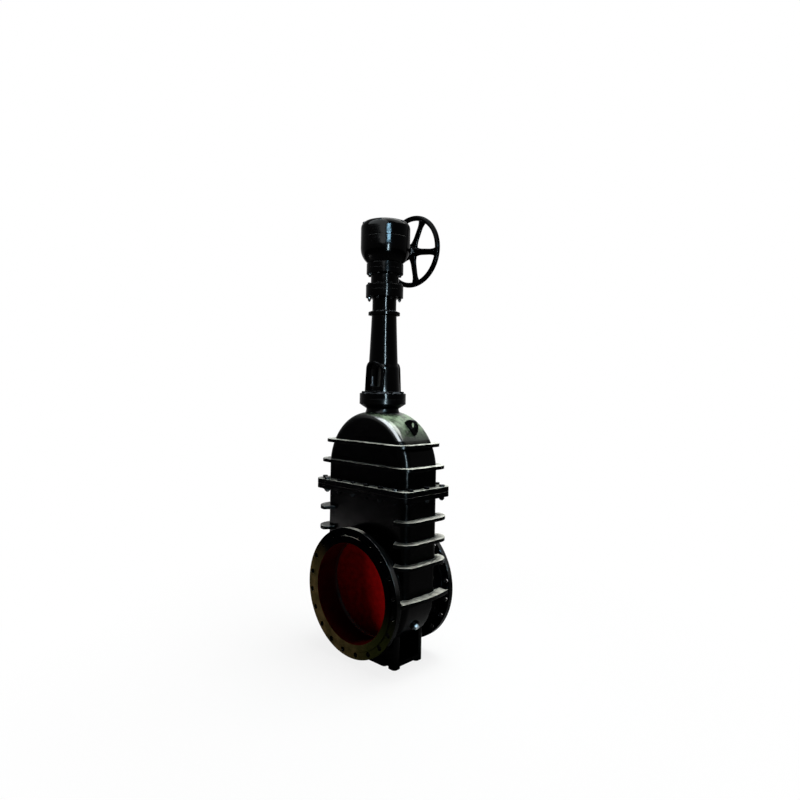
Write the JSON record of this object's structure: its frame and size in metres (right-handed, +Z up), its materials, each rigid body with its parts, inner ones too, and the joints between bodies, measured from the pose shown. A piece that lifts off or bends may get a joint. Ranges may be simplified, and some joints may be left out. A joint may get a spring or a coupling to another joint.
{
  "type": "gate valve",
  "caption": "Large flanged rising-stem wedge gate valve with ribbed casing and arched bonnet, tall closed column, bevel gear operator and side handwheel, shown closed",
  "frame": {"origin": "on the ground under the stem, in the middle of the casing's foot", "axes": "+Z up the stem; +Y along the pipe, towards the handwheel and the outlet flange; +X across the pipe, towards the lifting eye"},
  "size_m": [0.82, 0.551, 2.791],
  "materials": {
    "gloss_black": "gloss enamel over cast iron",
    "gate_red": "satin red primer over cast iron",
    "bronze": "machined bronze",
    "stainless": "turned stainless steel",
    "black_steel": "gloss enamel over steel fasteners",
    "steel": "machined steel",
    "gear_iron": "oiled iron, machined teeth",
    "packing": "braided graphite packing",
    "gasket": "compressed fibre sheet",
    "seal": "moulded rubber seal"
  },
  "bodies": {
    "valve_body": {"casing": "gloss_black", "bonnet": "gloss_black", "column": "gloss_black", "spool": "gloss_black", "gearbox_housing": "gloss_black", "gearbox_cover": "gloss_black", "pinion_cartridge": "gloss_black", "lifting_eye": "gloss_black", "gland": "gloss_black", "bonnet_gasket": "gasket", "drain_plug": "black_steel", "bonnet_bolts": "black_steel", "bonnet_nuts": "black_steel", "inlet_seat_ring": "bronze", "outlet_seat_ring": "bronze", "backseat_bush": "bronze", "stem_packing": "packing", "gland_studs": "black_steel", "gland_nuts": "black_steel", "column_studs": "black_steel", "column_nuts": "black_steel", "spool_bolts": "black_steel", "spool_nuts": "black_steel", "gearbox_screws": "black_steel", "cover_screws": "black_steel", "stem_scraper": "seal", "lower_fixed_race": "steel", "upper_fixed_race": "steel", "inner_bush": "bronze", "outer_bush": "bronze", "shaft_seal": "seal", "cartridge_screws": "black_steel"},
    "handwheel": {"handwheel": "gloss_black", "pinion_shaft": "steel", "bevel_pinion": "steel", "pinion_key": "steel", "wheel_key": "steel", "shaft_spacers": "steel", "wheel_washer": "black_steel", "wheel_nut": "black_steel"},
    "stem_nut": {"stem_nut": "bronze", "bevel_gear": "gear_iron", "gear_key": "steel", "lower_rollers": "steel", "lower_turning_race": "steel", "upper_rollers": "steel", "upper_turning_race": "steel"},
    "stem": {"stem": "stainless", "wedge_gate": "gate_red", "gate_ring_inlet": "bronze", "gate_ring_outlet": "bronze", "gate_nut": "bronze", "gate_nut_pin": "stainless"}
  },
  "joints": [
    {"name": "wheel_turn", "type": "hinge", "parent": "valve_body", "child": "handwheel", "pos_m": [0, 0.247, 2.559], "axis": [0, 1, 0], "range_deg": [0, 67500]},
    {"name": "nut_turn", "type": "hinge", "parent": "valve_body", "child": "stem_nut", "pos_m": [0, 0, 2.559], "axis": [0, 0, 1], "range_deg": [0, 22500]},
    {"name": "stem_rise", "type": "slide", "parent": "valve_body", "child": "stem", "axis": [0, 0, 1], "range_m": [0, 0.625]}
  ],
  "couplings": [
    {"joint": "nut_turn", "follows": "wheel_turn", "ratio": 0.33333},
    {"joint": "stem_rise", "follows": "wheel_turn", "m_per_rad": 0.00053052}
  ]
}
